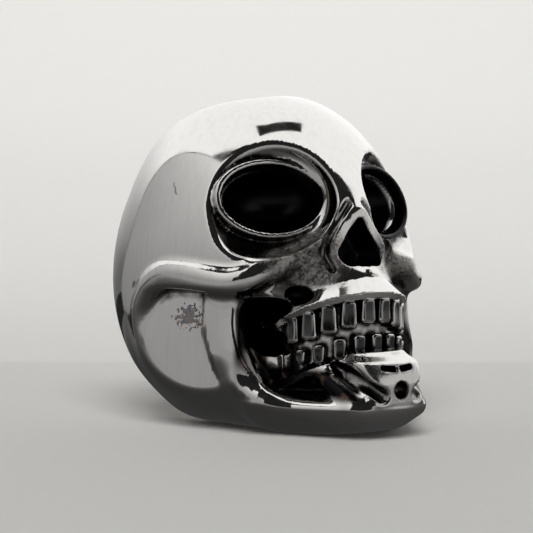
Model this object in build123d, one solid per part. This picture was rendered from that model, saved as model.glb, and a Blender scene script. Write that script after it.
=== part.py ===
from build123d import *
import os
from math import cos, radians, sin, sqrt, tan
import numpy as np

# Skull ring: one heavy casting, a full skull with its lower jaw and the finger bore run through it.
# Face toward -Y, finger bore along Z, millimetres. Heights below count from the jaw's reference level.

# finger bore and the band round it
finger_bore_r = 9.9
back_wall = 2.4
bore_edge_break = 0.35
mouth_wall = 2.0

# egg shaped head
head_half_width = 14.2
head_front = 15.2
head_back = 18.7
head_mid_height = 13.0
crown_rise = 18.4
jaw_drop = 16.8
foot = 0.5

# eye sockets
eye_x = 6.15
eye_y = -10.0
eye_height = 20.4
eye_turn = 19.0
eye_lean = 14.0
eye_half_width = 4.65
eye_half_height = 3.15
eye_depth = 4.2
eye_rim = 0.3
rim_depth = 2.6
eye_taper = 20.0

# nose
nose_half_width = 2.4
nose_back = 11.4

# mouth
arch_centre_y = -11.2
arch_r = 6.3
tooth_corner = 0.32
tooth_bevel = 0.16
gum_step = 1.1
mouth_half_angle = 46.5

# height of the crest round the lower jaw
jaw_crest = 2.2

# side plate between cheek arch and jaw
plate_turn = 66.0
plate_distance = 12.8
plate_lean = 0.09
band_rise = 0.4
band_half_width = 1.5

# finest and widest spacing of the facets
fine_step = 0.84
wide_step = 1.4

bore_y = head_back - back_wall - finger_bore_r

# cheek arch, from under the eye over the temple and down behind the side plate
cheek_arch = [
    # turn from the face, height, lift over the head, tube radius
    dict(turn=20, height=15.4, lift=-2.2, r=1.20),
    dict(turn=30, height=14.5, lift=-1.3, r=1.25),
    dict(turn=40, height=13.4, lift=-0.70, r=1.25),
    dict(turn=47, height=13.0, lift=-0.60, r=1.25),
    dict(turn=55, height=13.2, lift=-0.60, r=1.25),
    dict(turn=65, height=13.6, lift=-0.60, r=1.20),
    dict(turn=76, height=13.6, lift=-0.65, r=1.20),
    dict(turn=86, height=12.4, lift=-0.65, r=1.20),
    dict(turn=93, height=10.4, lift=-0.65, r=1.20),
    dict(turn=95, height=8.4, lift=-0.95, r=1.25),
    dict(turn=92, height=6.4, lift=-1.1, r=1.20),
    dict(turn=85, height=4.8, lift=-1.2, r=1.10),
]

# upright of the lower jaw, running on along the jaw's lower edge to the chin
jaw_edge = [
    dict(x=9.45, y=-7.8, height=12.4, r=1.05),
    dict(x=9.45, y=-7.6, height=9.6, r=1.05),
    dict(x=9.2, y=-8.7, height=6.2, r=1.05),
    dict(x=8.8, y=-10.2, height=3.5, r=1.15),
    dict(x=8.0, y=-11.9, height=2.6, r=1.00),
    dict(x=6.4, y=-13.6, height=2.0, r=0.85),
    dict(x=4.9, y=-15.8, height=1.9, r=0.75),
    dict(x=3.6, y=-17.9, height=2.1, r=0.55),
]

upper_teeth = [
    # turn from the middle of the face, half width, biting edge, gum line
    dict(turn=8.6, half=0.70, low=9.3, high=11.6),
    dict(turn=25.8, half=0.71, low=8.9, high=11.4),
    dict(turn=43.0, half=0.73, low=8.4, high=11.0),
    dict(turn=60.2, half=0.71, low=7.85, high=10.5),
    dict(turn=77.0, half=0.66, low=7.5, high=10.0),
]
lower_teeth = [
    dict(turn=0.0, half=0.54, low=6.4, high=8.5),
    dict(turn=16.6, half=0.54, low=6.3, high=8.42),
    dict(turn=33.8, half=0.57, low=6.1, high=8.1),
    dict(turn=51.5, half=0.55, low=5.8, high=7.55),
    dict(turn=68.5, half=0.50, low=5.7, high=7.1),
]


def blend_in(a, b, k):
    """The nearer of two shapes, with a fillet of about k where they meet."""
    h = np.maximum(k - np.abs(a - b), 0.0) / k
    return np.minimum(a, b) - h * h * k / 4


def cut_away(a, b, k):
    """Shape a with shape b taken out, the edge softened by about k."""
    return -blend_in(-a, b, k)


def keep_both(a, b, k):
    return -blend_in(-a, -b, k)


def ball(u, v, w, ru, rv, rw):
    """Signed distance, near enough, to a ball stretched to three half sizes."""
    k0 = np.sqrt((u / ru) ** 2 + (v / rv) ** 2 + (w / rw) ** 2) + 1e-9
    k1 = np.sqrt((u / ru**2) ** 2 + (v / rv**2) ** 2 + (w / rw**2) ** 2) + 1e-9
    return k0 * (k0 - 1.0) / k1


def rod(x, y, z, a, b):
    """Distance to a round rod from a to b, each (x, y, z, radius)."""
    d = [b[i] - a[i] for i in range(3)]
    t = ((x - a[0]) * d[0] + (y - a[1]) * d[1] + (z - a[2]) * d[2]) / (d[0] ** 2 + d[1] ** 2 + d[2] ** 2)
    t = np.clip(t, 0.0, 1.0)
    off = (x - a[0] - t * d[0]) ** 2 + (y - a[1] - t * d[1]) ** 2 + (z - a[2] - t * d[2]) ** 2
    return np.sqrt(off) - (a[3] + (b[3] - a[3]) * t)


def rope(x, y, z, stations, parts=3):
    """Round rope on a smooth line through its stations, each (x, y, z, radius)."""
    line = np.array(stations)
    ends = np.vstack([2 * line[0] - line[1], line, 2 * line[-1] - line[-2]])
    knots = []
    for a, b, c, d in zip(ends, ends[1:], ends[2:], ends[3:]):
        for t in np.arange(parts) / parts:
            knots.append(b + (c - a) * t / 2 + (a - 2.5 * b + 2 * c - d / 2) * t**2 + (1.5 * (b - c) + (d - a) / 2) * t**3)
    knots.append(line[-1])
    shape = rod(x, y, z, knots[0], knots[1])
    for a, b in zip(knots[1:], knots[2:]):
        shape = np.minimum(shape, rod(x, y, z, a, b))
    return shape


def curve(x, at, value):
    """Smooth line through a few values, level beyond its ends and never past a value."""
    at, value = np.array(at, float), np.array(value, float)
    before, after = (np.diff(value) / np.diff(at))[:-1], (np.diff(value) / np.diff(at))[1:]
    tilt = np.zeros(len(at))
    tilt[1:-1] = np.where(before * after > 0, 2 * before * after / (before + after + 1e-12), 0.0)
    x = np.clip(x, at[0], at[-1])
    i = np.clip(np.searchsorted(at, x, side="right") - 1, 0, len(at) - 2)
    width = at[i + 1] - at[i]
    t = (x - at[i]) / width
    level = value[i] * (1 + 2 * t) * (1 - t) ** 2 + value[i + 1] * t**2 * (3 - 2 * t)
    return level + width * t * (1 - t) * (tilt[i] * (1 - t) - tilt[i + 1] * t)


def on_head(turn, height, lift):
    """Point over the egg's surface, seen at this turn from the face."""
    a = radians(turn)
    depth = head_front if cos(a) > 0 else head_back
    rise = crown_rise if height > head_mid_height else jaw_drop
    share = sqrt(max(0.0, 1 - ((height - head_mid_height) / rise) ** 2))
    r = share / sqrt((sin(a) / head_half_width) ** 2 + (cos(a) / depth) ** 2) + lift
    return r * sin(a), -r * cos(a), height


def head(ax, y, z):
    depth = np.where(y < 0, head_front, head_back)
    rise = np.where(z > head_mid_height, crown_rise, jaw_drop)
    egg = ball(ax, y, z - head_mid_height, head_half_width, depth, rise)
    egg = blend_in(egg, ball(ax - 4.2, y - 1.0, z - 20.0, 8.1, 9.0, 10.2), 2.0)
    return blend_in(egg, ball(ax - 5.5, y + 3.5, z - 7.8, 9.2, 9.5, 7.6), 2.0)


def mouth_side(ax, y, z, turn):
    """Open hollow between the jaw's upright and the teeth."""
    hollow = keep_both((turn - mouth_half_angle) * 0.25, z - 11.4, 1.4)
    hollow = keep_both(hollow, 1.0 - z, 0.6)
    to_bore = finger_bore_r + mouth_wall - np.sqrt(ax**2 + (y - bore_y) ** 2)
    return keep_both(hollow, to_bore, 1.2)


def lower_jaw(ax, y, z):
    """Horseshoe of the jaw, hollowed above its lower edge, with the chin plate in front."""
    half = curve(-y, [0, 4, 8, 11, 13.3, 16.3, 18.6, 20, 21.2], [7.6, 9.2, 9.9, 9.0, 7.1, 5.3, 4.0, 3.0, 1.6])
    outline = keep_both((ax - half) * 0.8, 0.03 * ax**2 - y - 20.4, 1.8)
    open_side = curve(-y, [8.5, 10.5], [0, 1])
    crest = jaw_crest + 1.0 - open_side
    above = 3.6 * (1 - np.exp(-(np.maximum(z - crest, 0.0) / 1.6) ** 1.8))
    below = 0.5 * np.maximum(crest - z, 0.0) ** 1.3
    inset = above * open_side + below
    jaw = keep_both(keep_both(outline + inset, z - 6.3, 0.4), y + 1.0, 2.0)
    front = curve(z, [0, 1.2, 2.7, 4.2, 6, 6.8], [19.0, 20.0, 20.5, 20.5, 19.8, 18.6])
    half = curve(z, [0, 2.5, 4.2, 6, 6.8], [2.9, 3.1, 2.8, 3.3, 2.9])
    chin = keep_both(0.05 * ax**2 - 0.9 * (y + front), ax - half, 1.0)
    chin = keep_both(keep_both(chin, z - 7.0, 0.5), y + 12.0, 0.5)
    return blend_in(jaw, chin, 0.35)


def side_plate(ax, y, z, turn):
    """Flat of the jaw's side, cut back from the round of the head."""
    a = radians(plate_turn)
    wall = plate_distance + plate_lean * (8.0 - z)
    plate = keep_both(wall - (ax * sin(a) - y * cos(a)), z - 12.3, 0.8)
    return keep_both(plate, (turn - 96.0) * 0.24, 1.0)


def jaw_upright(ax, y, z):
    """Flat band standing a little proud of the side plate, behind the mouth."""
    a = radians(plate_turn)
    out = ax * sin(a) - y * cos(a)
    along = ax * cos(a) + y * sin(a)
    middle = curve(z, [2.5, 4.0, 6.2, 9.6, 12.4], [-7.2, -5.6, -4.1, -3.1, -3.2])
    rise = curve(z, [3.0, 7.0], [-0.8, band_rise])
    wall = plate_distance + plate_lean * (8.0 - z)
    band = keep_both(out - wall - rise, np.abs(along - middle) - band_half_width, 0.35)
    return keep_both(band, np.abs(z - 8.1) - 4.7, 2.0)


def eye_axes(ax, y, z):
    """Across, up and out of the eye socket's own plane."""
    a, t = radians(eye_turn), radians(eye_lean)
    px, py, pz = ax - eye_x, y - eye_y, z - eye_height
    across = px * cos(a) + py * sin(a)
    up = (py * cos(a) - px * sin(a)) * sin(t) + pz * cos(t)
    out = (px * sin(a) - py * cos(a)) * cos(t) + pz * sin(t)
    return across, up, out


def skull(x, y, z):
    """Signed distance to the skull before its bore and teeth, negative in the metal."""
    z = z - foot
    ax = np.abs(x)
    turn = np.degrees(np.arctan2(ax, -y))
    tooth_turn = np.degrees(np.arctan2(ax, arch_centre_y - y))
    arch = np.sqrt(ax**2 + (y - arch_centre_y) ** 2)
    d = cut_away(head(ax, y, z), mouth_side(ax, y, z, turn), 0.6)

    # hollows beside the nose and under the cheek, then the upper jaw over the teeth
    d = cut_away(d, ball(ax - 5.6, y + 15.0, z - 13.4, 3.1, 2.6, 2.6), 1.2)
    d = cut_away(d, ball(ax - 7.2, y + 12.9, z - 11.6, 3.2, 2.6, 1.9), 0.7)
    d = blend_in(d, ball(ax, y + 10.4, z - 12.8, 5.5, 5.6, 2.9), 1.4)

    # gums, stepped back behind the teeth, the bite rising toward the middle
    bite = z + 0.00033 * np.minimum(tooth_turn, 95.0) ** 2
    levels = [0, 4.4, 5.4, 5.9, 6.5, 7.0, 11.2, 11.55, 12.1, 13.3, 14.3, 16]
    proud = [-1.3, -1.1, -0.6, 0.05, -0.1, -gum_step, -gum_step, -0.1, 0.15, -1.1, -1.6, -1.6]
    gum = arch_r + np.interp(bite, levels, proud)
    d = blend_in(d, keep_both(arch - gum, z - 14.6, 1.0), 0.3)
    d = blend_in(d, lower_jaw(ax, y, z), curve(z, [1.0, 3.0], [2.5, 0.5]))

    # side plate, cheek arch and jaw edge
    d = cut_away(d, side_plate(ax, y, z, turn), 0.8)
    cheek = [on_head(s["turn"], s["height"], s["lift"]) + (s["r"],) for s in cheek_arch]
    d = blend_in(d, rope(ax, y, z, cheek), 0.6)
    edge = [(s["x"], s["y"], s["height"], s["r"]) for s in jaw_edge]
    d = blend_in(d, rope(ax, y, z, edge), 1.4)
    d = blend_in(d, jaw_upright(ax, y, z), 0.4)

    # nose bone and the rim of the nose opening
    d = blend_in(d, rod(ax, y, z, (0, -10.6, 22.6, 1.2), (0, -13.6, 18.8, 1.15)), 1.3)
    d = blend_in(d, rope(ax, y, z, [(0.6, -13.6, 18.9, 0.6), (2.7, -13.3, 15.8, 0.6), (1.7, -14.8, 13.9, 0.6)]), 0.5)

    # shallow dish round each eye
    across, up, out = eye_axes(ax, y, z)
    dish = ball(across - 1.2, up + 0.3, out - 1.9, eye_half_width + 1.9, eye_half_height + 2.4, 3.8)
    below = ball(across - 3.4, up + 3.0, out - 1.6, 3.0, 2.6, 2.4)
    d = cut_away(d, blend_in(dish, below, 0.8), 0.5)

    # chin relief: slanting groove and the fold beside it
    groove = [(3.6, -15.9, 5.6, 0.5), (3.0, -18.2, 4.7, 0.5), (1.9, -20.2, 3.4, 0.55)]
    d = cut_away(d, rope(ax, y, z, groove), 0.4)
    fold = [(4.1, -15.5, 4.5, 0.8), (3.6, -17.3, 3.3, 0.9), (2.9, -18.8, 2.2, 0.8)]
    d = blend_in(d, rope(ax, y, z, fold), 0.8)

    # flat foot, lifted toward the chin and the band, and the band's taper at the back
    floor = curve(y, [-21, -17, -13, 2, 6, 10, 16], [1.5, 0.4, 0, 0, 0.5, 1.1, 2.4]) - foot
    d = keep_both(d, floor - z, 1.2)
    d = keep_both(d, (y - 9.5) * 0.62 + (z - 27.5) * 0.785, 2.0)
    d = keep_both(d, (y - 10.5) * 0.5 - z * 0.866, 2.0)

    # broken edge where the finger bore comes out
    inward = np.minimum(finger_bore_r - np.sqrt(x**2 + (y - bore_y) ** 2), 1.0)
    return keep_both(d, (d + inward + bore_edge_break) * 0.707, 0.6)


def spaced(start, *runs):
    """Grid lines from start through runs of (end, spacing)."""
    lines = [start]
    for end, step in runs:
        count = max(1, round((end - lines[-1]) / step))
        lines += list(np.linspace(lines[-1], end, count + 1)[1:])
    return np.array(lines)


def joined_groups(corners):
    """Number of groups that a grid cell's corners form along its edges."""
    left, groups = set(corners), 0
    while left:
        reached = [left.pop()]
        groups += 1
        for corner in reached:
            close = {c for c in left if sum(abs(p - q) for p, q in zip(c, corner)) == 1}
            left -= close
            reached += close
    return groups


def crossed_face(inside):
    """Whether a face of the cell has only two opposite corners in the metal."""
    for axis in range(3):
        for side in (0, 1):
            face = [c for c in cell_corners if c[axis] == side]
            metal = [c in inside for c in face]
            if metal in ([True, False, False, True], [False, True, True, False]):
                return True
    return False


cell_corners = [(p, q, r) for p in (0, 1) for q in (0, 1) for r in (0, 1)]


def close_pinches(value):
    """Fill grid corners until the skin passes each cell once, so that it has no pinched edges or points."""
    pinched = []
    for pattern in range(256):
        inside = [c for k, c in enumerate(cell_corners) if pattern >> k & 1]
        outside = [c for c in cell_corners if c not in inside]
        pinched.append(joined_groups(inside) > 1 or joined_groups(outside) > 1 or crossed_face(inside))
    pinched = np.array(pinched)
    spots = [None]
    while len(spots):
        inside = (value < 0).astype(int)
        cells = np.array(value.shape) - 1
        pattern = sum(
            inside[p : p + cells[0], q : q + cells[1], r : r + cells[2]] << k
            for k, (p, q, r) in enumerate(cell_corners)
        )
        spots = np.argwhere(pinched[pattern])
        for spot in spots:
            outside = [tuple(spot + c) for c in cell_corners if value[tuple(spot + c)] >= 0]
            if outside:
                value[min(outside, key=lambda corner: value[corner])] = -1e-3
    return value


def slope(points, e=0.03):
    """Gradient of the skull's distance."""
    return np.stack([(skull(*(points + s).T) - skull(*(points - s).T)) / (2 * e) for s in e * np.eye(3)], 1)


def skin(lines):
    """Corner points and triangles of the skull's surface over a graded grid."""
    value = close_pinches(skull(*np.meshgrid(*lines, indexing="ij")))
    inside = value < 0
    cells = np.array(inside.shape) - 1
    full = sum(inside[p : p + cells[0], q : q + cells[1], r : r + cells[2]].astype(int) for p, q, r in cell_corners)
    crossed = (full > 0) & (full < 8)
    cell = np.argwhere(crossed)
    number = -np.ones(cells, int)
    number[crossed] = np.arange(len(cell))
    total, hits = np.zeros((len(cell), 3)), np.zeros(len(cell))
    for corner in cell_corners:
        for axis in range(3):
            if corner[axis] == 0:
                a = cell + corner
                b = a + np.eye(3, dtype=int)[axis]
                va, vb = value[tuple(a.T)], value[tuple(b.T)]
                cut = (va < 0) != (vb < 0)
                t = np.where(cut, va / np.where(cut, va - vb, 1.0), 0.0)[:, None]
                pa = np.stack([lines[k][a[:, k]] for k in range(3)], 1)
                pb = np.stack([lines[k][b[:, k]] for k in range(3)], 1)
                total[cut] += (pa + t * (pb - pa))[cut]
                hits[cut] += 1
    points = total / hits[:, None]
    low = np.stack([lines[k][cell[:, k]] for k in range(3)], 1)
    high = np.stack([lines[k][cell[:, k] + 1] for k in range(3)], 1)
    margin = 0.06 * (high - low)
    for _ in range(4):
        g = slope(points)
        points = points - (skull(*points.T) / np.maximum((g**2).sum(1), 0.2))[:, None] * g
        points = np.clip(points, low + margin, high - margin)
    quads = []
    for axis in range(3):
        first, second = [k for k in range(3) if k != axis]
        a = inside.take(range(cells[axis]), axis)
        b = inside.take(range(1, cells[axis] + 1), axis)
        edge = np.argwhere(a != b)
        solid_first = a[tuple(edge.T)]
        ring = []
        for p, q in ((1, 1), (0, 1), (0, 0), (1, 0)):
            near = edge.copy()
            near[:, first] -= p
            near[:, second] -= q
            ring.append(number[tuple(near.T)])
        quad = np.stack(ring, 1)
        turned = solid_first if axis == 1 else ~solid_first
        quad[turned] = quad[turned][:, ::-1]
        quads.append(quad)
    quads = np.concatenate(quads)
    one = np.abs(skull(*((points[quads[:, 0]] + points[quads[:, 2]]) / 2).T))
    two = np.abs(skull(*((points[quads[:, 1]] + points[quads[:, 3]]) / 2).T))
    split = np.where((one <= two)[:, None, None], quads[:, [[0, 1, 2], [0, 2, 3]]], quads[:, [[0, 1, 3], [1, 2, 3]]])
    return points, split.reshape(-1, 3)


def outer_skin(count, triangles):
    """The largest connected set of triangles, without crumbs or voids inside the metal."""
    label = np.arange(count)
    settled = False
    while not settled:
        lower = label.copy()
        np.minimum.at(lower, triangles.ravel(), np.repeat(label[triangles].min(1), 3))
        settled = (lower == label).all()
        label = lower
    found, size = np.unique(label[triangles[:, 0]], return_counts=True)
    return triangles[label[triangles[:, 0]] == found[size.argmax()]]


def faceted_skull():
    half = spaced(0.0, (11.2, fine_step), (head_half_width + 2.0, wide_step))
    across = np.concatenate([-half[:0:-1], half])
    deep = spaced(-22.2, (-9.0, fine_step), (head_back + 1.2, wide_step))
    tall = spaced(-1.3, (22.5, fine_step), (head_mid_height + crown_rise + foot + 1.5, wide_step))
    points, triangles = skin([across, deep, tall])
    triangles = outer_skin(len(points), triangles)
    corner = [Vector(*map(float, p)) for p in points]
    facets = [Face(Wire.make_polygon([corner[i] for i in t], close=True)) for t in triangles]
    print("facets", len(facets))
    return Solid(Shell(facets))


def tooth(turn, half, low, high, biting_low):
    """One tooth standing out of the gum, a little wider at its biting edge for the upper row."""
    root = arch_r - gum_step - 0.5
    wide, slim = half * 1.08, half * 0.92
    bottom, top = (slim, wide) if biting_low else (wide, slim)
    outline = Polygon((-bottom, low), (bottom, low), (top, high), (-top, high), align=None)
    outline = fillet(outline.vertices(), tooth_corner)
    body = extrude(Plane.XZ * outline, amount=arch_r)
    body -= Box(4, 2 * root, 99)
    front = body.edges().filter_by(lambda e: abs(e.center().Y + arch_r) < 1e-3)
    body = chamfer(front, tooth_bevel)
    return Pos(0, arch_centre_y, foot) * Rot(0, 0, turn) * body


def teeth():
    both = []
    for row, biting_low in ((upper_teeth, True), (lower_teeth, False)):
        for s in row:
            for side in (1, -1) if s["turn"] else (1,):
                both.append(tooth(side * s["turn"], s["half"], s["low"], s["high"], biting_low))
    return both


def both_sides(body):
    return [body, mirror(body, about=Plane.YZ)]


def eye_parts():
    """The raised rim of an eye and the pit inside it, in the socket's own plane."""
    a, t = radians(eye_turn), radians(eye_lean)
    outward = (sin(a) * cos(t), -cos(a) * cos(t), sin(t))
    plane = Plane((eye_x, eye_y, eye_height + foot), x_dir=(cos(a), sin(a), 0), z_dir=outward)
    outer = Ellipse(eye_half_width + 2 * eye_rim, eye_half_height + 2 * eye_rim)
    opening = Ellipse(eye_half_width, eye_half_height)
    rim = plane * extrude(outer, amount=-rim_depth)
    draw = eye_depth * tan(radians(eye_taper))
    back = Pos(0, 0, -eye_depth) * Ellipse(eye_half_width - draw, eye_half_height - draw)
    pit = plane * (loft([opening.face(), back.face()]) + extrude(opening, amount=rim_depth))
    return rim, pit


def nose_opening():
    side = [(0.25, 18.7), (nose_half_width, 15.8), (nose_half_width * 0.85, 14.4), (0.45, 14.5)]
    outline = Polygon(*side, *[(-across, height) for across, height in reversed(side)], align=None)
    outline = fillet(outline.vertices(), 0.3)
    return Pos(0, -nose_back, foot) * extrude(Plane.XZ * outline, amount=9.0, dir=(0, -1, 0))


def chin_marks():
    """Dimple of the chin with a slit each side above it."""
    slit = Pos(0.95, -19.4, 5.6 + foot) * Rot(0, 8.0, 0) * Box(1.56, 1.5, 0.4)
    return [Pos(0, -20.9, 3.8 + foot) * Sphere(0.8), *both_sides(slit)]


rim, pit = eye_parts()
body = faceted_skull().fuse(*teeth(), *both_sides(rim))
bore = Pos(0, bore_y, 15) * Cylinder(finger_bore_r, 60)
body = body.cut(bore, *both_sides(pit), nose_opening(), *chin_marks())
walls = [f for f in body.faces().filter_by(GeomType.CYLINDER) if abs(f.radius - finger_bore_r) < 1e-6]
low = min(f.bounding_box().min.Z for f in walls)
high = max(f.bounding_box().max.Z for f in walls)
ring = Pos(0, -bore_y, -(low + high) / 2) * body
ring.label = "skull_ring"
box = ring.bounding_box()
print("bore from", round(low, 3), "to", round(high, 3), "length", round(high - low, 3), "centre y", bore_y)
print("box", [round(v, 3) for v in (*box.min, *box.max)], "volume", round(ring.volume, 1), "valid", ring.is_valid)
print("faces", len(ring.faces()), "solids", len(ring.solids()))
os.makedirs("parts", exist_ok=True)
export_step(ring, "parts/skull_ring.step")
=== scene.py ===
from math import cos, radians, sin, sqrt

import bpy
import numpy as np
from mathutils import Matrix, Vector


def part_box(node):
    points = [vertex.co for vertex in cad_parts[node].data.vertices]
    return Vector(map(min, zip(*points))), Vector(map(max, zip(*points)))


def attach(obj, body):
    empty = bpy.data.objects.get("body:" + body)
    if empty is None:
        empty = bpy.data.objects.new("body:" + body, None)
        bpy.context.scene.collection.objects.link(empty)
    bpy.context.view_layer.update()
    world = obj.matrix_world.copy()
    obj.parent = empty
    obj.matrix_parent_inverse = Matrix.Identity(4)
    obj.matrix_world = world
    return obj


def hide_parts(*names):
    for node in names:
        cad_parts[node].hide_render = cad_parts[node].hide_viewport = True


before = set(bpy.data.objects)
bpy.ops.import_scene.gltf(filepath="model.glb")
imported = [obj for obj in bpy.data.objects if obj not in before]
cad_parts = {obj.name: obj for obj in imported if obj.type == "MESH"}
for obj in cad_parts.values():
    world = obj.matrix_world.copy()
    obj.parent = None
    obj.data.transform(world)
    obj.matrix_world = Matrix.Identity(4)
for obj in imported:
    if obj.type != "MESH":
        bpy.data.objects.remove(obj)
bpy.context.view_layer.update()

low_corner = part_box("skull_ring")[0]

# Head.
# The whole ring is one casting in stainless steel, carved in wax as a skull and cast around its
# finger bore. The brain case is an egg with a wider shoulder over each eye and a full lower side.
# Sizes are millimetres, the face toward -Y, and heights count from foot, that far off the floor.
head_half_width = 14.2
head_front = 15.2
head_back = 18.7
head_mid_height = 13.0
crown_rise = 18.4
jaw_drop = 16.8
foot = 0.5

# lobes: the middle across, along and up, then the half sizes the same way
brow_shoulder = (4.2, 1.0, 20.0, 8.1, 9.0, 10.2)
lower_side = (5.5, -3.5, 7.8, 9.2, 9.5, 7.6)


def blend_in(a, b, k):
    """The nearer of two shapes, with a fillet of about k where they meet."""
    h = np.maximum(k - np.abs(a - b), 0.0) / k
    return np.minimum(a, b) - h * h * k / 4


def cut_away(a, b, k):
    """Shape a with shape b taken out, the edge softened by about k."""
    return -blend_in(-a, b, k)


def keep_both(a, b, k):
    """What lies in both shapes, the edge softened by about k."""
    return -blend_in(-a, -b, k)


def ball(u, v, w, ru, rv, rw):
    """Signed distance, near enough, to a ball stretched to three half sizes."""
    k0 = np.sqrt((u / ru) ** 2 + (v / rv) ** 2 + (w / rw) ** 2) + 1e-9
    k1 = np.sqrt((u / ru**2) ** 2 + (v / rv**2) ** 2 + (w / rw**2) ** 2) + 1e-9
    return k0 * (k0 - 1.0) / k1


def lobe(u, v, w, place):
    """Ball whose place holds its middle and then its half sizes."""
    return ball(u - place[0], v - place[1], w - place[2], *place[3:])


def head(ax, y, z):
    depth = np.where(y < 0, head_front, head_back)
    rise = np.where(z > head_mid_height, crown_rise, jaw_drop)
    egg = ball(ax, y, z - head_mid_height, head_half_width, depth, rise)
    egg = blend_in(egg, lobe(ax, y, z, brow_shoulder), 2.0)
    return blend_in(egg, lobe(ax, y, z, lower_side), 2.0)


# Mouth and upper jaw.
# The sides of the mouth are cut open between the jaw's upright and the teeth. The upper jaw rolls
# out over the gum line and leans back under the nose, with a hollow each side below the cheek.
finger_bore_r = 9.9
back_wall = 2.4
mouth_wall = 2.0
mouth_half_angle = 46.5
mouth_top = 11.4
mouth_floor = 1.0
arch_centre_y = -11.2
arch_r = 6.3
gum_step = 1.1
bite_curve = 0.00033
bore_y = head_back - back_wall - finger_bore_r

cheek_hollow = (5.6, -15.0, 13.4, 3.1, 2.6, 2.6)
gum_hollow = (7.2, -12.9, 11.6, 3.2, 2.6, 1.9)
upper_lip = (0.0, -10.4, 12.8, 5.5, 5.6, 2.9)
# small dark hollow over the gum line, behind the cheek
jaw_pit = (5.1, -12.6, 11.7, 0.9, 1.7, 0.75)


def from_bore(x, y):
    """Distance from the middle of the finger bore."""
    return np.sqrt(x**2 + (y - bore_y) ** 2)


def mouth_side(ax, y, z, turn):
    """Open hollow between the jaw's upright and the teeth."""
    hollow = keep_both((turn - mouth_half_angle) * 0.25, z - mouth_top, 1.4)
    hollow = keep_both(hollow, mouth_floor - z, 0.6)
    return keep_both(hollow, finger_bore_r + mouth_wall - from_bore(ax, y), 1.2)


def upper_jaw(d, ax, y, z):
    d = cut_away(d, lobe(ax, y, z, cheek_hollow), 1.2)
    d = cut_away(d, lobe(ax, y, z, gum_hollow), 0.7)
    return blend_in(d, lobe(ax, y, z, upper_lip), 1.4)


def gums(ax, y, z):
    """Both gums on the tooth arch, stepped back behind the teeth, the bite highest in the middle."""
    arch = np.sqrt(ax**2 + (y - arch_centre_y) ** 2)
    tooth_turn = np.degrees(np.arctan2(ax, arch_centre_y - y))
    bite = z + bite_curve * np.minimum(tooth_turn, 95.0) ** 2
    levels = [0, 4.4, 5.4, 5.9, 6.5, 7.0, 11.2, 11.55, 12.1, 13.3, 14.3, 16]
    proud = [-1.3, -1.1, -0.6, 0.05, -0.1, -gum_step, -gum_step, -0.1, 0.15, -1.1, -1.6, -1.6]
    return keep_both(arch - arch_r - np.interp(bite, levels, proud), z - 14.6, 1.0)


# Lower jaw.
# A horseshoe cast in one with the head, its upper edge a thin crest round the floor of the mouth.
# A flat upright rises from it behind the mouth, and a rounded edge runs from there to the chin.
jaw_crest = 2.2
plate_turn = 66.0
plate_distance = 12.8
plate_lean = 0.09
band_rise = 0.4
band_half_width = 1.5
jaw_edge = [
    dict(x=9.45, y=-7.8, height=12.4, r=1.05),
    dict(x=9.45, y=-7.6, height=9.6, r=1.05),
    dict(x=9.2, y=-8.7, height=6.2, r=1.05),
    dict(x=8.8, y=-10.2, height=3.5, r=1.15),
    dict(x=8.0, y=-11.9, height=2.6, r=1.00),
    dict(x=6.4, y=-13.6, height=2.0, r=0.85),
    dict(x=4.9, y=-15.8, height=1.9, r=0.75),
    dict(x=3.6, y=-17.9, height=2.1, r=0.55),
]
jaw_edge_line = [(s["x"], s["y"], s["height"], s["r"]) for s in jaw_edge]


def curve(x, at, value):
    """Smooth line through a few values, level beyond its ends and never past a value."""
    at, value = np.array(at, float), np.array(value, float)
    before, after = (np.diff(value) / np.diff(at))[:-1], (np.diff(value) / np.diff(at))[1:]
    tilt = np.zeros(len(at))
    tilt[1:-1] = np.where(before * after > 0, 2 * before * after / (before + after + 1e-12), 0.0)
    x = np.clip(x, at[0], at[-1])
    i = np.clip(np.searchsorted(at, x, side="right") - 1, 0, len(at) - 2)
    width = at[i + 1] - at[i]
    t = (x - at[i]) / width
    level = value[i] * (1 + 2 * t) * (1 - t) ** 2 + value[i + 1] * t**2 * (3 - 2 * t)
    return level + width * t * (1 - t) * (tilt[i] * (1 - t) - tilt[i + 1] * t)


def rod(x, y, z, a, b):
    """Distance to a round rod from a to b, each (x, y, z, radius)."""
    d = [b[i] - a[i] for i in range(3)]
    t = ((x - a[0]) * d[0] + (y - a[1]) * d[1] + (z - a[2]) * d[2]) / (d[0] ** 2 + d[1] ** 2 + d[2] ** 2)
    t = np.clip(t, 0.0, 1.0)
    off = (x - a[0] - t * d[0]) ** 2 + (y - a[1] - t * d[1]) ** 2 + (z - a[2] - t * d[2]) ** 2
    return np.sqrt(off) - (a[3] + (b[3] - a[3]) * t)


def rope(x, y, z, stations, parts=3):
    """Round rope on a smooth line through its stations, each (x, y, z, radius)."""
    line = np.array(stations)
    ends = np.vstack([2 * line[0] - line[1], line, 2 * line[-1] - line[-2]])
    knots = []
    for a, b, c, d in zip(ends, ends[1:], ends[2:], ends[3:]):
        for t in np.arange(parts) / parts:
            slow = b + (c - a) * t / 2 + (a - 2.5 * b + 2 * c - d / 2) * t**2
            knots.append(slow + (1.5 * (b - c) + (d - a) / 2) * t**3)
    knots.append(line[-1])
    shape = rod(x, y, z, knots[0], knots[1])
    for a, b in zip(knots[1:], knots[2:]):
        shape = np.minimum(shape, rod(x, y, z, a, b))
    return shape


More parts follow.
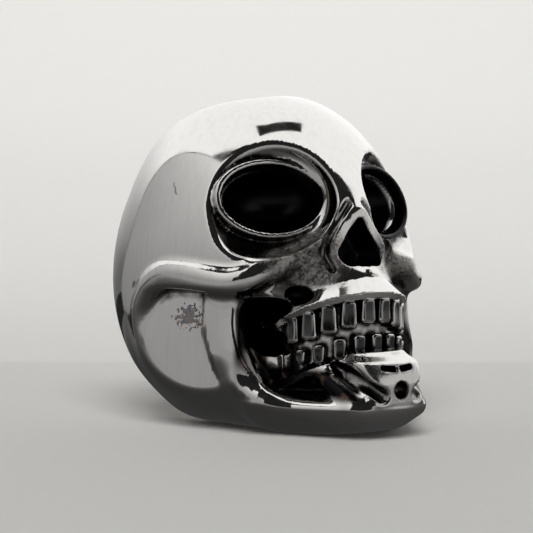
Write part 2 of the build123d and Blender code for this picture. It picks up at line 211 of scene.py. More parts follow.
def horseshoe(ax, y, z):
    """Lower jaw, hollowed above its crest where the mouth is open."""
    half_at = [0, 4, 8, 11, 13.3, 16.3, 18.6, 20, 21.2]
    half = curve(-y, half_at, [7.6, 9.2, 9.9, 9.0, 7.1, 5.3, 4.0, 3.0, 1.6])
    outline = keep_both((ax - half) * 0.8, 0.03 * ax**2 - y - 20.4, 1.8)
    open_side = curve(-y, [8.5, 10.5], [0, 1])
    crest = jaw_crest + 1.0 - open_side
    above = 3.6 * (1 - np.exp(-(np.maximum(z - crest, 0.0) / 1.6) ** 1.8))
    below = 0.5 * np.maximum(crest - z, 0.0) ** 1.3
    inset = above * open_side + below
    return keep_both(keep_both(outline + inset, z - 6.3, 0.4), y + 1.0, 2.0)


def chin_plate(ax, y, z):
    front = curve(z, [0, 1.2, 2.7, 4.2, 6, 6.8], [19.0, 20.0, 20.5, 20.5, 19.8, 18.6])
    half = curve(z, [0, 2.5, 4.2, 6, 6.8], [2.9, 3.1, 2.8, 3.3, 2.9])
    chin = keep_both(0.05 * ax**2 - 0.9 * (y + front), ax - half, 1.0)
    return keep_both(keep_both(chin, z - 7.0, 0.5), y + 12.0, 0.5)


def plate_wall(z):
    """How far the side plate's flat stands from the ring's middle line, at a height."""
    return plate_distance + plate_lean * (8.0 - z)


def upright(ax, y, z):
    """Flat band standing a little proud of the side plate, behind the mouth."""
    a = radians(plate_turn)
    out = ax * sin(a) - y * cos(a)
    along = ax * cos(a) + y * sin(a)
    middle = curve(z, [2.5, 4.0, 6.2, 9.6, 12.4], [-7.2, -5.6, -4.1, -3.1, -3.2])
    rise = curve(z, [3.0, 7.0], [-0.8, band_rise])
    band = keep_both(out - plate_wall(z) - rise, np.abs(along - middle) - band_half_width, 0.35)
    return keep_both(band, np.abs(z - 8.1) - 4.7, 2.0)


# Side plates and cheek arches.
# Each side of the jaw is filed to a flat that leans out a little at its foot. The cheek arch runs
# over it as a rounded bead, from under the eye to the temple and down behind the plate.
cheek_arch = [
    # turn from the face, height, lift over the head, bead radius
    dict(turn=20, height=15.4, lift=-2.2, r=1.20),
    dict(turn=30, height=14.5, lift=-1.3, r=1.25),
    dict(turn=40, height=13.4, lift=-0.7, r=1.25),
    dict(turn=47, height=13.0, lift=-0.6, r=1.25),
    dict(turn=55, height=13.2, lift=-0.6, r=1.25),
    dict(turn=65, height=13.6, lift=-0.6, r=1.20),
    dict(turn=76, height=13.6, lift=-0.65, r=1.20),
    dict(turn=86, height=12.4, lift=-0.65, r=1.20),
    dict(turn=93, height=10.4, lift=-0.65, r=1.20),
    dict(turn=95, height=8.4, lift=-0.95, r=1.25),
    dict(turn=92, height=6.4, lift=-1.1, r=1.20),
    dict(turn=85, height=4.8, lift=-1.2, r=1.10),
]


def side_plate(ax, y, z, turn):
    a = radians(plate_turn)
    plate = keep_both(plate_wall(z) - (ax * sin(a) - y * cos(a)), z - 12.3, 0.8)
    return keep_both(plate, (turn - 96.0) * 0.24, 1.0)


def on_head(turn, height, lift):
    """Point over the egg's surface, seen at this turn from the face."""
    a = radians(turn)
    depth = head_front if cos(a) > 0 else head_back
    rise = crown_rise if height > head_mid_height else jaw_drop
    share = sqrt(max(0.0, 1 - ((height - head_mid_height) / rise) ** 2))
    r = share / sqrt((sin(a) / head_half_width) ** 2 + (cos(a) / depth) ** 2) + lift
    return r * sin(a), -r * cos(a), height


# Eyes.
# Each socket is a shallow dish with a thin raised rim, and inside the rim a deep pit that the
# polishing wheel never reaches.
eye_x = 6.15
eye_y = -10.0
eye_height = 20.4
eye_turn = 19.0
eye_lean = 14.0
eye_half_width = 4.65
eye_half_height = 3.15
eye_depth = 4.2
eye_rim = 0.3

# the dish and its outer lower corner, across, up and out in the socket's own plane
round_dish = (1.2, -0.3, 1.9, eye_half_width + 1.9, eye_half_height + 2.4, 3.8)
dish_corner = (3.4, -3.0, 1.6, 3.0, 2.6, 2.4)


def eye_axes(ax, y, z):
    """Across, up and out of the eye socket's own plane."""
    a, t = radians(eye_turn), radians(eye_lean)
    px, py, pz = ax - eye_x, y - eye_y, z - eye_height
    across = px * cos(a) + py * sin(a)
    up = (py * cos(a) - px * sin(a)) * sin(t) + pz * cos(t)
    out = (px * sin(a) - py * cos(a)) * cos(t) + pz * sin(t)
    return across, up, out


def eye_dish(ax, y, z):
    across, up, out = eye_axes(ax, y, z)
    return blend_in(lobe(across, up, out, round_dish), lobe(across, up, out, dish_corner), 0.8)


def eye_rim_and_pit(d, ax, y, z):
    across, up, out = eye_axes(ax, y, z)
    ring = ball(across, up, 0 * out, eye_half_width + eye_rim, eye_half_height + eye_rim, 99.0)
    d = blend_in(d, keep_both(np.abs(ring) - eye_rim, np.abs(out + 0.9) - 0.95, 0.3), 0.3)
    return cut_away(d, ball(across, up, out - 0.5, eye_half_width, eye_half_height, eye_depth + 0.5), 0.2)


# Nose.
# The bone runs down between the eyes to a pear shaped opening with a thin raised rim, and a small
# spine stands in its lower edge.
nose_back = 11.4

# rods and ropes of the nose, each station across, along and up, with its radius
nose_ridge = [(0, -10.6, 22.6, 1.2), (0, -13.6, 18.8, 1.15)]
nose_spine = [(0, -12.2, 14.6, 0.35), (0, -15.6, 13.9, 0.35)]
nose_rim = [(0.6, -13.6, 18.9, 0.6), (2.7, -13.3, 15.8, 0.6), (1.7, -14.8, 13.9, 0.6)]
rim_groove = [
    (0.9, -14.3, 19.9, 0.35),
    (2.0, -14.3, 18.5, 0.35),
    (3.1, -14.2, 16.9, 0.4),
    (3.5, -14.1, 15.3, 0.4),
    (3.0, -14.7, 14.0, 0.3),
]
# the opening as it is seen from the front: one side, mirrored, and the middle
opening_side = [(0.1, 0, 18.3, 0.3), (1.35, 0, 15.4, 1.05)]
opening_middle = [(0, 0, 17.4, 0.6), (0, 0, 15.3, 1.0)]


def nose_bone(d, ax, y, z):
    d = blend_in(d, rod(ax, y, z, *nose_ridge), 1.3)
    d = blend_in(d, rope(ax, y, z, nose_rim), 0.5)
    return cut_away(d, rope(ax, y, z, rim_groove), 0.3)


def nose_opening(d, ax, y, z):
    pear = blend_in(rod(ax, 0 * y, z, *opening_side), rod(ax, 0 * y, z, *opening_middle), 0.5)
    d = cut_away(d, keep_both(pear, y + nose_back, 0.6), 0.2)
    return blend_in(d, rod(ax, y, z, *nose_spine), 0.3)


# Chin.
# A slanting groove with a fold of metal beside it runs down each side of the chin plate, with a
# slit above and a round dimple in the middle.
chin_groove = [(3.6, -15.9, 5.6, 0.5), (3.0, -18.2, 4.7, 0.5), (1.9, -20.2, 3.4, 0.55)]
chin_fold = [(4.1, -15.5, 4.5, 0.8), (3.6, -17.3, 3.3, 0.9), (2.9, -18.8, 2.2, 0.8)]
chin_dimple = (0.0, -20.8, 3.8, 0.78, 1.2, 0.78)
slit_x, slit_y, slit_height, slit_slope = 0.95, -19.4, 5.6, 0.14


def block(u, v, w, half_u, half_v, half_w, corner):
    """Signed distance to a box with rounded corners."""
    qu, qv, qw = np.abs(u) - half_u + corner, np.abs(v) - half_v + corner, np.abs(w) - half_w + corner
    outside = np.sqrt(np.maximum(qu, 0) ** 2 + np.maximum(qv, 0) ** 2 + np.maximum(qw, 0) ** 2)
    return outside + np.minimum(np.maximum(qu, np.maximum(qv, qw)), 0.0) - corner


def chin_pits(ax, y, z):
    """Round dimple in the middle of the chin and a short sloping slit each side above it."""
    u, w = ax - slit_x, z - slit_height
    slit = block(u + slit_slope * w, y - slit_y, w - slit_slope * u, 0.78, 0.75, 0.2, 0.15)
    return np.minimum(lobe(ax, y, z, chin_dimple), slit)


# Teeth.
# Ten upper and nine lower teeth stand out of the gums as separate rounded pegs, each with its
# front face slightly dished so that only its edge catches the light.
upper_teeth = [
    # turn from the middle of the face, half width, biting edge, gum line
    dict(turn=8.6, half=0.70, low=9.3, high=11.6),
    dict(turn=25.8, half=0.71, low=8.9, high=11.4),
    dict(turn=43.0, half=0.73, low=8.4, high=11.0),
    dict(turn=60.2, half=0.71, low=7.85, high=10.5),
    dict(turn=77.0, half=0.66, low=7.5, high=10.0),
]
lower_teeth = [
    dict(turn=0.0, half=0.54, low=6.4, high=8.5),
    dict(turn=16.6, half=0.54, low=6.3, high=8.42),
    dict(turn=33.8, half=0.57, low=6.1, high=8.1),
    dict(turn=51.5, half=0.55, low=5.8, high=7.55),
    dict(turn=68.5, half=0.50, low=5.7, high=7.1),
]
tooth_half_depth = 0.55
tooth_corner = 0.42
tooth_dish = 0.16


def each_tooth(ax, y, z):
    """Place across, out and up from the middle of each tooth, with its half width and half height."""
    for row, widening in ((upper_teeth, -0.1), (lower_teeth, 0.1)):
        for s in row:
            a = radians(s["turn"])
            r = arch_r - tooth_half_depth
            px, py = ax - r * sin(a), y - arch_centre_y + r * cos(a)
            across = px * cos(a) + py * sin(a)
            out = px * sin(a) - py * cos(a)
            half = (s["high"] - s["low"]) / 2
            w = z - (s["high"] + s["low"]) / 2
            yield across, out, w, s["half"] * (1 + widening * w / half), half


def tooth_rows(ax, y, z):
    """Both rows of teeth, each tooth a rounded block a little narrower at its gum."""
    nearest = np.full_like(z, 9.0)
    for u, out, w, wide, half in each_tooth(ax, y, z):
        middle = np.maximum(1 - (u / (0.8 * wide)) ** 2, 0) * np.maximum(1 - (w / (0.85 * half)) ** 2, 0)
        out = out + 0.1 * np.abs(u) + tooth_dish * middle * (out > 0)
        nearest = np.minimum(nearest, block(u, out, w, wide, tooth_half_depth, half, tooth_corner))
    return nearest


# Casting.
# All of it is one piece of metal. Its foot is filed flat so that the ring stands by itself, the
# band tapers at the back, and the bore is reamed through from jaw to crown with its edges broken.
bore_edge_break = 0.35


def skull(x, y, z):
    """Signed distance to the skull before its small parts and its bore, negative in the metal."""
    z = z - foot
    ax = np.abs(x)
    turn = np.degrees(np.arctan2(ax, -y))
    d = cut_away(head(ax, y, z), mouth_side(ax, y, z, turn), 0.6)
    d = upper_jaw(d, ax, y, z)
    d = blend_in(d, gums(ax, y, z), 0.3)
    lower_jaw = blend_in(horseshoe(ax, y, z), chin_plate(ax, y, z), 0.35)
    d = blend_in(d, lower_jaw, curve(z, [1.0, 3.0], [2.5, 0.5]))
    d = cut_away(d, side_plate(ax, y, z, turn), 0.8)
    cheek = [on_head(s["turn"], s["height"], s["lift"]) + (s["r"],) for s in cheek_arch]
    d = blend_in(d, rope(ax, y, z, cheek), 0.6)
    d = blend_in(d, rope(ax, y, z, jaw_edge_line), 1.4)
    d = blend_in(d, upright(ax, y, z), 1.0)
    d = nose_bone(d, ax, y, z)
    d = cut_away(d, eye_dish(ax, y, z), 0.5)
    d = cut_away(d, rope(ax, y, z, chin_groove), 0.4)
    d = blend_in(d, rope(ax, y, z, chin_fold), 0.8)
    floor = curve(y, [-21, -17, -13, 2, 6, 10, 16], [1.5, 0.4, 0, 0, 0.5, 1.1, 2.4]) - foot
    d = keep_both(d, floor - z, 1.2)
    # the band's upper and lower edges are bevelled away toward the back
    d = keep_both(d, (y - 9.5) * 0.62 + (z - 27.5) * 0.785, 2.0)
    d = keep_both(d, (y - 10.5) * 0.5 - z * 0.866, 2.0)
    # and the bore's edges are broken at 45 degrees
    inward = np.minimum(finger_bore_r - from_bore(x, y), 1.0)
    return keep_both(d, (d + inward + bore_edge_break) * 0.707, 0.6)


def casting(x, y, z):
    """Signed distance to the finished casting, heights from the floor that it stands on."""
    d = skull(x, y, z)
    ax = np.abs(x)
    z = z - foot
    d = eye_rim_and_pit(d, ax, y, z)
    d = nose_opening(d, ax, y, z)
    d = cut_away(d, lobe(ax, y, z, jaw_pit), 0.3)
    d = cut_away(d, chin_pits(ax, y, z), 0.12)
    d = blend_in(d, tooth_rows(ax, y, z), 0.1)
    return keep_both(d, finger_bore_r - from_bore(x, y), 0.5)


def slope(points, e=0.02):
    """Gradient of the casting's distance."""
    rises = [casting(*(points + s).T) - casting(*(points - s).T) for s in e * np.eye(3)]
    return np.stack(rises, 1) / (2 * e)


def spaced(start, *runs):
    """Grid lines from start through runs of (end, spacing)."""
    lines = [start]
    for end, step in runs:
        count = max(1, round((end - lines[-1]) / step))
        lines += list(np.linspace(lines[-1], end, count + 1)[1:])
    return np.array(lines)


def skin(lines):
    """Corner points and four sided faces of the casting's surface over a graded grid."""
    value = np.stack([casting(*np.meshgrid([x], *lines[1:], indexing="ij"))[0] for x in lines[0]])
    inside = value < 0
    cells = np.array(inside.shape) - 1
    eight = [(p, q, r) for p in (0, 1) for q in (0, 1) for r in (0, 1)]
    full = sum(inside[p : p + cells[0], q : q + cells[1], r : r + cells[2]].astype(int) for p, q, r in eight)
    crossed = (full > 0) & (full < 8)
    cell = np.argwhere(crossed)
    number = -np.ones(cells, int)
    number[crossed] = np.arange(len(cell))
    total, hits = np.zeros((len(cell), 3)), np.zeros(len(cell))
    for corner in eight:
        for axis in range(3):
            if corner[axis] == 0:
                a = cell + corner
                b = a + np.eye(3, dtype=int)[axis]
                va, vb = value[tuple(a.T)], value[tuple(b.T)]
                cut = (va < 0) != (vb < 0)
                t = np.where(cut, va / np.where(cut, va - vb, 1.0), 0.0)[:, None]
                pa = np.stack([lines[k][a[:, k]] for k in range(3)], 1)
                pb = np.stack([lines[k][b[:, k]] for k in range(3)], 1)
                total[cut] += (pa + t * (pb - pa))[cut]
                hits[cut] += 1
    points = total / hits[:, None]
    low = np.stack([lines[k][cell[:, k]] for k in range(3)], 1)
    high = np.stack([lines[k][cell[:, k] + 1] for k in range(3)], 1)
    # three steps down the slope bring each point onto the surface, within its own cell
    for _ in range(3):
        g = slope(points)
        points = points - (casting(*points.T) / np.maximum((g**2).sum(1), 0.2))[:, None] * g
        points = np.clip(points, low, high)
    # a four sided face crosses each grid edge that runs between metal and air
    quads = []
    for axis in range(3):
        first, second = [k for k in range(3) if k != axis]
        a = inside.take(range(cells[axis]), axis)
        b = inside.take(range(1, cells[axis] + 1), axis)
        edge = np.argwhere(a != b)
        solid_first = a[tuple(edge.T)]
        ring = []
        for p, q in ((1, 1), (0, 1), (0, 0), (1, 0)):
            near = edge.copy()
            near[:, first] -= p
            near[:, second] -= q
            ring.append(number[tuple(near.T)])
        quad = np.stack(ring, 1)
        turned = solid_first if axis == 1 else ~solid_first
        quad[turned] = quad[turned][:, ::-1]
        quads.append(quad)
    return points, np.concatenate(quads)


def put(name, data):
    """New object that shows the data in the scene."""
    made = bpy.data.objects.new(name, data)
    bpy.context.scene.collection.objects.link(made)
    return made


# grid lines: closest over the teeth and the crest of the jaw, wide over the crown and the back
tooth_step, fine_step, wide_step = ((0.195, 0.255, 0.46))
half = spaced(0.0, (6.6, tooth_step), (11.2, fine_step), (head_half_width + 2.0, wide_step))
across_lines = np.concatenate([-half[:0:-1], half])
deep_runs = [(-17.6, fine_step), (-13.0, tooth_step), (-8.0, fine_step), (head_back + 1.2, wide_step)]
deep_lines = spaced(-22.2, *deep_runs)
top_line = head_mid_height + crown_rise + foot + 1.5
crest_line = foot + jaw_crest
tall_runs = [(crest_line - 0.4, fine_step), (crest_line + 0.5, tooth_step / 2), (6.0, fine_step)]
tall_runs += [(12.6, tooth_step), (24.5, fine_step), (top_line, wide_step)]
tall_lines = spaced(-1.3, *tall_runs)
points, quads = skin([across_lines, deep_lines, tall_lines])
normals = slope(points)
normals /= np.linalg.norm(normals, axis=1)[:, None]

mesh = bpy.data.meshes.new("skull_casting")
place = np.array([0.0, -bore_y / 1000, low_corner.z])
mesh.from_pydata((points / 1000 + place).tolist(), [], quads.tolist())
mesh.update()
mesh.polygons.foreach_set("use_smooth", [True] * len(mesh.polygons))
mesh.normals_split_custom_set_from_vertices(normals.tolist())
skull_casting = put("skull_casting", mesh)
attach(skull_casting, "root")
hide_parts("skull_ring")

# Polish, wear and painted light.
# The steel is brought to a mirror on a felt wheel, which can't reach the recesses: there the
# grey cast skin and dark polishing residue stay. One side plate has a patch of pitted stain.
# Painted shade darkens the recesses along with grime, and also the far eye's dish and the dished
# faces of the teeth; brown patches of painted warm reflection and tarnish lie on the floor of the mouth.


def hex_colour(text):
    """sRGB hex to linear red, green, blue and alpha."""
    channels = [int(text[i : i + 2], 16) / 255 for i in (0, 2, 4)]
    return tuple(c / 12.92 if c <= 0.04045 else ((c + 0.055) / 1.055) ** 2.4 for c in channels) + (1.0,)


def add_node(tree, kind, settings, out=0):
    """Output of a new shader node, each setting a property, a socket's value or the socket that feeds it."""
    node = tree.nodes.new(kind)
    for name, value in settings.items():
        if isinstance(value, bpy.types.NodeSocket):
            tree.links.new(value, node.inputs[name])
        elif isinstance(name, int) or name in node.inputs:
            node.inputs[name].default_value = value
        else:
            setattr(node, name, value)
    return node.outputs[out]


def store(name, values):
    kept = np.clip(values, 0.0, 1.0).astype(np.float32)
    mesh.attributes.new(name, "FLOAT", "POINT").data.foreach_set("value", kept)


def share(value, width):
    """From none to all as a value passes from 0 to a width."""
    return np.clip(value / width, 0.0, 1.0)


nose_dark = [(0, 0, 17.6, 0.7), (0.6, 0, 15.6, 1.8)]
rough_cheek = (4.8, -13.3, 14.9, 4.8, 4.4, 3.9)
chin_face = (0.0, -19.8, 4.6, 3.9, 3.2, 2.9)
stain_place = np.array([-11.75, -4.8, 9.75 + foot])
scratch_place = np.array([-12.42, -3.42, 21.31 + foot])
scratch_half_sizes = (0.002, 0.00011, 0.00095)

# black residue in the eye pits, the nose, the chin and the open sides of the mouth, and painted shade in the
# far eye's dish
x, y, z = np.abs(points[:, 0]), points[:, 1], points[:, 2] - foot
across, up, out = eye_axes(x, y, z)
pit = ball(across, up, out - 0.3, eye_half_width + 0.1, eye_half_height + 0.1, eye_depth + 1.5)
# painted shade: the far eye's dish alone is darkened, the near one is left bright
far_dish_shade = eye_dish(x, y, z) + 0.1 + 9.0 * (points[:, 0] < 0)
nose = rod(x, 0 * y, z, *nose_dark) - np.minimum(y + 14.2, 0)
chin = np.minimum(chin_pits(x, y, z) - 0.1, rope(x, y, z, chin_groove)) - 0.12
small = np.minimum(lobe(x, y, z, jaw_pit) - 0.15, rope(x, y, z, rim_groove)) - 0.12
black = share(-np.minimum.reduce([pit, far_dish_shade, nose, chin, small]), 0.25)
arch = np.sqrt(x**2 + (y - arch_centre_y) ** 2)
off_teeth = np.maximum(share(arch - arch_r - 0.25, 0.3), share(5.6 - z, 0.4))
off_teeth = off_teeth * share(x - 3.9 + 0.8 * share(4.6 - z, 0.8), 0.5)
off_edge = share(rope(x, y, z, jaw_edge_line) - 0.1, 0.6)
in_mouth = share(-mouth_side(x, y, z, np.degrees(np.arctan2(x, -y))), 0.5) * off_teeth * off_edge
in_mouth = in_mouth * share(11.6 - z, 0.8) * share(z - jaw_crest - 0.45, 0.3)
# and painted shade, nearly as dark, on the dished faces of the teeth
faces = np.zeros(len(points))
for u, v, w, wide, half in each_tooth(x, y, z):
    in_face = share(1 - np.abs(u) / (0.85 * wide), 0.35) * share(1 - np.abs(w) / (0.9 * half), 0.2)
    faces = np.maximum(faces, in_face * share(v - 0.2, 0.1) * (v < 1.0))
# the black mask holds the residue, the painted shade in the far eye's dish and, at 0.9, the painted shade on
# the tooth faces
store("black", np.maximum(np.maximum(black, in_mouth), 0.9 * faces))
# the floor of the mouth also gets brown patches of painted warm reflection and tarnish
store("warm_reflection_and_tarnish", in_mouth)

# how far each point lies in a recess, from the room in front of it; it sets the painted shade in the recesses
room = sum(np.clip(casting(*(points + reach * normals).T) / reach, 0.0, 1.0) for reach in (0.5, 1.2, 2.4)) / 3
store("recess", 1.0 - room)

# cast skin left rough on the cheeks beside the nose, and a finer one on the chin plate
off_rim = share(rope(x, y, z, nose_rim) - 0.05, 0.2)
store("cast_skin", share(-lobe(x, y, z, rough_cheek), 1.6) * share(z - 12.0, 0.8) * off_rim)
store("chin_skin", share(-lobe(x, y, z, chin_face), 0.5))

# pitted stain on one side plate
off = points - stain_place
spread = np.sqrt((off[:, 1] / 2.0) ** 2 + (off[:, 2] / 1.4) ** 2)
store("stain", (1.0 - spread) * (points[:, 0] < -8.0))

steel = bpy.data.materials.new("mirror_polished_cast_steel")
steel.use_nodes = True
tree = steel.node_tree
shader = tree.nodes["Principled BSDF"]
shader.inputs["Metallic"].default_value = 1.0
place_in = add_node(tree, "ShaderNodeTexCoord", {}, "Object")
recess, black, warm_reflection_and_tarnish, rough_skin, chin_skin, stain = (
    add_node(tree, "ShaderNodeAttribute", {"attribute_name": name}, "Fac")
    for name in ("recess", "black", "warm_reflection_and_tarnish", "cast_skin", "chin_skin", "stain")
)

# cloudy patterns, each with the width of its blotches in millimetres and how finely they break up
cloud = {
    name: add_node(tree, "ShaderNodeTexNoise", {"Vector": place_in, "Scale": 1000 / width, "Detail": detail})
    for name, width, detail in (
        ("wear", 1.4, 6.0), ("grime_and_shade", 1.1, 4.0), ("warm_reflection_and_tarnish", 1.6, 2.0), ("mottle", 0.9, 3.0),
        ("grain", 0.24, 6.0), ("pits", 0.33, 5.0), ("flecks", 0.19, 2.0),
    )
}

# grime and painted shade fill the recesses in blotches a millimetre wide: the bright steel darkens toward
# them
grime_and_shade = add_node(tree, "ShaderNodeMath", {"operation": "MULTIPLY_ADD", 0: cloud["grime_and_shade"], 1: 0.5, 2: recess})
grime_and_shade = add_node(tree, "ShaderNodeMapRange", {"Value": grime_and_shade, "From Min": 0.56, "From Max": 0.90})
settings = {"data_type": "RGBA", 0: grime_and_shade, 6: hex_colour("CFCDCA"), 7: hex_colour("2A2725")}
colour = add_node(tree, "ShaderNodeMix", settings, 2)

# the wheel leaves faint smears that run down the sides, half a millimetre wide
down = add_node(tree, "ShaderNodeMapping", {"Vector": place_in, "Scale": (1.0, 1.0, 0.12)})
smears = add_node(tree, "ShaderNodeTexNoise", {"Vector": down, "Scale": 1000 / 0.53, "Detail": 4.0})
settings = {"Value": smears, "From Min": 0.45, "From Max": 0.75, "To Max": 0.1}
smears = add_node(tree, "ShaderNodeMapRange", settings)
settings = {"data_type": "RGBA", 0: smears, 6: colour, 7: hex_colour("8F8D8A")}
colour = add_node(tree, "ShaderNodeMix", settings, 2)

# one thin scratch 1.8 mm long on the temple, broken here and there
settings = {
    "vector_type": "TEXTURE",
    "Vector": place_in,
    "Location": tuple(scratch_place / 1000 + place),
    "Rotation": (radians(-33), 0.0, 0.0),
    "Scale": scratch_half_sizes,
}
beside = add_node(tree, "ShaderNodeMapping", settings)
scratch = add_node(tree, "ShaderNodeTexGradient", {"gradient_type": "SPHERICAL", "Vector": beside}, "Fac")
scratch = add_node(tree, "ShaderNodeMapRange", {"Value": scratch, "From Max": 0.4, "To Max": 0.7})
broken = add_node(tree, "ShaderNodeMapRange", {"Value": cloud["grain"], "From Min": 0.35, "From Max": 0.5})
scratch = add_node(tree, "ShaderNodeMath", {"operation": "MULTIPLY", 0: scratch, 1: broken})
settings = {"data_type": "RGBA", 0: scratch, 6: colour, 7: hex_colour("4A4846")}
colour = add_node(tree, "ShaderNodeMix", settings, 2)

# cast skin is dull grey, mottled at a quarter and at one millimetre, darker in its pores
mottle = add_node(tree, "ShaderNodeMath", {"operation": "ADD", 0: cloud["grain"], 1: cloud["mottle"]})
mottle = add_node(tree, "ShaderNodeMapRange", {"Value": mottle, "From Min": 0.82, "From Max": 1.18})
settings = {"data_type": "RGBA", 0: mottle, 6: hex_colour("2C2927"), 7: hex_colour("A7A39E")}
skin_colour = add_node(tree, "ShaderNodeMix", settings, 2)
on_skin = add_node(tree, "ShaderNodeMath", {"operation": "MULTIPLY", 0: rough_skin, 1: 0.9})
settings = {"data_type": "RGBA", 0: on_skin, 6: colour, 7: skin_colour}
colour = add_node(tree, "ShaderNodeMix", settings, 2)

# the stain is a scatter of blue grey pits 0.3 mm wide with rust brown flecks among them
pitted = add_node(tree, "ShaderNodeMath", {"operation": "MULTIPLY_ADD", 0: stain, 1: 0.34, 2: cloud["pits"]})
pitted = add_node(tree, "ShaderNodeMapRange", {"Value": pitted, "From Min": 0.63, "From Max": 0.67})
on_stain = add_node(tree, "ShaderNodeMapRange", {"Value": stain, "From Max": 0.1})
pitted = add_node(tree, "ShaderNodeMath", {"operation": "MULTIPLY", 0: pitted, 1: on_stain})
flecks = add_node(tree, "ShaderNodeMapRange", {"Value": cloud["flecks"], "From Min": 0.56, "From Max": 0.61})
settings = {"data_type": "RGBA", 0: flecks, 6: hex_colour("878C95"), 7: hex_colour("BD935F")}
pit_colour = add_node(tree, "ShaderNodeMix", settings, 2)
settings = {"data_type": "RGBA", 0: pitted, 6: colour, 7: pit_colour}
colour = add_node(tree, "ShaderNodeMix", settings, 2)

# black residue and painted shade, with brown patches of painted warm reflection and tarnish on the floor of
# the mouth
settings = {"Value": cloud["warm_reflection_and_tarnish"], "From Min": 0.55, "From Max": 0.62, "To Max": 0.8}
patches = add_node(tree, "ShaderNodeMapRange", settings)
patches = add_node(tree, "ShaderNodeMath", {"operation": "MULTIPLY", 0: patches, 1: warm_reflection_and_tarnish})
settings = {"data_type": "RGBA", 0: patches, 6: hex_colour("1C1B1D"), 7: hex_colour("59453D")}
residue_and_shade = add_node(tree, "ShaderNodeMix", settings, 2)
settings = {"data_type": "RGBA", 0: black, 6: colour, 7: residue_and_shade}
colour = add_node(tree, "ShaderNodeMix", settings, 2)
tree.links.new(colour, shader.inputs["Base Color"])

# polished faces mirror the room, hazed a little by wear; skin, stain, grime, residue and the painted shade
# scatter it
settings = {"Value": cloud["wear"], "From Min": 0.35, "From Max": 0.75, "To Min": 0.05, "To Max": 0.13}
roughness = add_node(tree, "ShaderNodeMapRange", settings)
for layer, dullness in ((rough_skin, 0.42), (chin_skin, 0.2), (pitted, 0.5), (black, 0.28), (grime_and_shade, 0.32)):
    dull = add_node(tree, "ShaderNodeMath", {"operation": "MULTIPLY", 0: layer, 1: dullness})
    roughness = add_node(tree, "ShaderNodeMath", {"operation": "MAXIMUM", 0: roughness, 1: dull})
tree.links.new(roughness, shader.inputs["Roughness"])

# cast skin stands up in a grain of about 0.03 mm; pits are 0.06 mm deep and the scratch 0.04 mm
skins = add_node(tree, "ShaderNodeMath", {"operation": "MULTIPLY_ADD", 0: chin_skin, 1: 0.15, 2: rough_skin})
skins = add_node(tree, "ShaderNodeMath", {"operation": "MULTIPLY", 0: skins, 1: 1.4})
relief = add_node(tree, "ShaderNodeMath", {"operation": "MULTIPLY", 0: skins, 1: cloud["grain"]})
relief = add_node(tree, "ShaderNodeMath", {"operation": "SUBTRACT", 0: relief, 1: pitted})
relief = add_node(tree, "ShaderNodeMath", {"operation": "SUBTRACT", 0: relief, 1: scratch})
bump = add_node(tree, "ShaderNodeBump", {"Height": relief, "Strength": 1.0, "Distance": 0.00006})
tree.links.new(bump, shader.inputs["Normal"])
mesh.materials.append(steel)

# Floor.
# A pale matt sheet that the ring stands on, swept up into a backdrop all round. The steel doesn't
# mirror it, so that it stays as dark below as on the photograph's stone.
floor_z = low_corner.z
flat_radius, sweep_radius, turns = 0.16, 0.6, 96
sweep = [
    (flat_radius + sweep_radius * sin(radians(a)), sweep_radius - sweep_radius * cos(radians(a)))
    for a in range(0, 85, 4)
]
sheet = bpy.data.meshes.new("floor")
corners, faces = [], []
for r, h in sweep:
    for k in range(turns):
        a = radians(360 * k / turns)
        corners.append((r * cos(a), r * sin(a), floor_z + h))
middle = len(corners)
corners.append((0.0, 0.0, floor_z))
for k in range(turns):
    after = (k + 1) % turns
    faces.append((k, after, middle))
    for i in range(0, middle - turns, turns):
        faces.append((i + k, i + turns + k, i + turns + after, i + after))
sheet.from_pydata(corners, [], faces)
sheet.polygons.foreach_set("use_smooth", [True] * len(sheet.polygons))
floor = put("floor", sheet)
pale = bpy.data.materials.new("pale_matt_sheet")
pale.use_nodes = True
matt = pale.node_tree.nodes["Principled BSDF"]
matt.inputs["Base Color"].default_value = hex_colour("E4E3E0")
matt.inputs["Roughness"].default_value = 0.9
sheet.materials.append(pale)
floor.visible_glossy = False

# Light.
# A white diffuser leans over the ring from behind, with a soft box edge to edge on each side of it.
# Its glow, and the faint glow of the floor, is what the polished steel mirrors.
view_turn = radians(-34.0)
across_view = Vector((cos(view_turn), sin(view_turn), 0.0))
from_viewer = Vector((-sin(view_turn), cos(view_turn), 0.0))


def soft_step(value, low, high):
    t = min(1.0, max(0.0, (value - low) / (high - low)))
    return t * t * (3 - 2 * t)


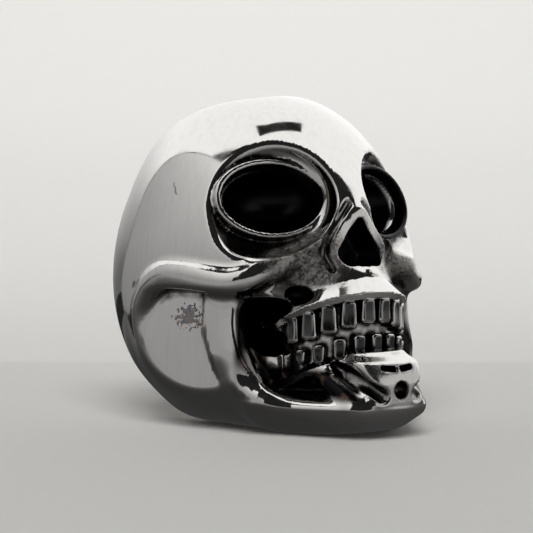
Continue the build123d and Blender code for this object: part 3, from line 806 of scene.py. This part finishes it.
def glowing_sheet(name, corners, glow, steps=24):
    """Glowing sheet, its four corners right, away and up from the ring as the camera sees it."""
    points, values, faces = [], [], []
    for i in range(steps + 1):
        for j in range(steps + 1):
            u, v = i / steps, j / steps
            weights = [(1 - u) * (1 - v), u * (1 - v), u * v, (1 - u) * v]
            right, away, up = (sum(w * c[k] for w, c in zip(weights, corners)) for k in range(3))
            points.append(right * across_view + away * from_viewer + up * Vector((0, 0, 1)))
            values.append(glow(right, away, up))
    for i in range(steps):
        for j in range(steps):
            a = i * (steps + 1) + j
            faces.append((a, a + steps + 1, a + steps + 2, a + 1))
    sheet = bpy.data.meshes.new(name)
    sheet.from_pydata(points, [], faces)
    sheet.attributes.new("glow", "FLOAT", "POINT").data.foreach_set("value", values)
    cloth = bpy.data.materials.new(name)
    cloth.use_nodes = True
    cloth.node_tree.nodes.clear()
    strength = add_node(cloth.node_tree, "ShaderNodeAttribute", {"attribute_name": "glow"}, "Fac")
    light = add_node(cloth.node_tree, "ShaderNodeEmission", {"Strength": strength})
    surface = cloth.node_tree.nodes.new("ShaderNodeOutputMaterial").inputs["Surface"]
    cloth.node_tree.links.new(light, surface)
    sheet.materials.append(cloth)
    made = put(name, sheet)
    made.visible_camera = False
    made.visible_shadow = False
    made.visible_diffuse = False


def diffuser_glow(right, away, up):
    return 0.15 + 1.20 * soft_step(up + 0.22 * right, -0.08, 0.18)


def side_glow(right, away, up):
    return (0.42 + 1.2 * max(up, 0.0) + 0.6 * min(up, 0.0)) * (1.0 - 0.6 * max(away, 0.0))


def low_glow(right, away, up):
    return 0.02 + 0.24 * soft_step(1.3 + up, 0.0, 1.0)


# painted shadow in the mirrored floor: its glow falls off within 6 cm of the ring, and is brighter toward the
# viewer
def floor_glow(right, away, up):
    near_viewer = soft_step(-away, -0.005, 0.03)
    return 0.045 + (0.08 + 0.30 * near_viewer) * soft_step(sqrt(right**2 + away**2), 0.020, 0.060)


# sides, low and top edge of the leaning sheet in metres, and its open seam to the left box
left, right, seam = -0.374, 0.43, 0.004
low_edge, top_edge = (0.46, -0.04), (-0.15, 0.506)
leaning = [(left + seam, *low_edge), (right, *low_edge), (right, *top_edge), (left + seam, *top_edge)]
left_box = [(left, -0.60, -0.25), (left, 0.46, -0.25), (left, *low_edge), (left, -0.60, 0.90)]
left_card = [(left, -0.60, -1.20), (left, 0.30, -1.20), (left, 0.46, -0.25), (left, -0.60, -0.25)]
right_box = [(right, -0.75, -0.10), (right, 0.46, -0.10), (right, 0.46, 0.30), (right, -0.75, 0.30)]
glow_level = floor_z + 0.0001
floor_corners = ((-0.35, -0.45), (0.40, -0.45), (0.40, 0.05), (-0.35, 0.05))
near_floor = [(u, v, glow_level) for u, v in floor_corners]
# dark strip that the steel mirrors over the near eye
frame_level = 0.24
frame_corners = ((-0.032, -0.037), (0.075, 0.001), (0.074, 0.045), (-0.026, 0.0))
dark_frame = [(u, v, frame_level) for u, v in frame_corners]
glowing_sheet("leaning_diffuser", leaning, diffuser_glow)
glowing_sheet("dark_frame", dark_frame, lambda right, away, up: 0.02, 2)
glowing_sheet("left_soft_box", left_box, side_glow)
glowing_sheet("left_low_card", left_card, low_glow)
glowing_sheet("right_soft_box", right_box, lambda right, away, up: 0.7)
glowing_sheet("floor_glow", near_floor, floor_glow, 120)

# broad lamp for the floor, which the steel doesn't mirror
lamp = bpy.data.lights.new("floor_lamp", "SUN")
lamp.energy = 2.8
lamp.angle = radians(50)
floor_lamp = put("floor_lamp", lamp)
floor_lamp.rotation_euler = (Vector((0, 0, 1)) - from_viewer).to_track_quat("Z", "Y").to_euler()
floor_lamp.visible_glossy = False

world = bpy.data.worlds.new("room")
bpy.context.scene.world = world
world.use_nodes = True
world.node_tree.nodes["Background"].inputs["Color"].default_value = (0.02, 0.02, 0.02, 1.0)

# Camera.
# Level with the ring and close to it, three quarters from its right cheek. Focal length, width and
# shift are pixels of the photograph, and the distance and height are metres.
camera_distance = 0.115
target_height = 0.0158
focal_length = 1155
picture_width = 533
shift_x, shift_y = -0.5, -11.5
camera = bpy.data.cameras.new("camera")
camera.sensor_width = 36.0
camera.lens = camera.sensor_width * focal_length / picture_width
camera.clip_start = 0.005
camera.shift_x = shift_x / picture_width
camera.shift_y = shift_y / picture_width
viewpoint = put("camera", camera)
target = Vector((0.0, -bore_y / 1000, floor_z + target_height))
viewpoint.location = target - camera_distance * from_viewer
viewpoint.rotation_euler = (-from_viewer).to_track_quat("Z", "Y").to_euler()
bpy.context.scene.camera = viewpoint
bpy.context.scene.view_settings.view_transform = "Standard"
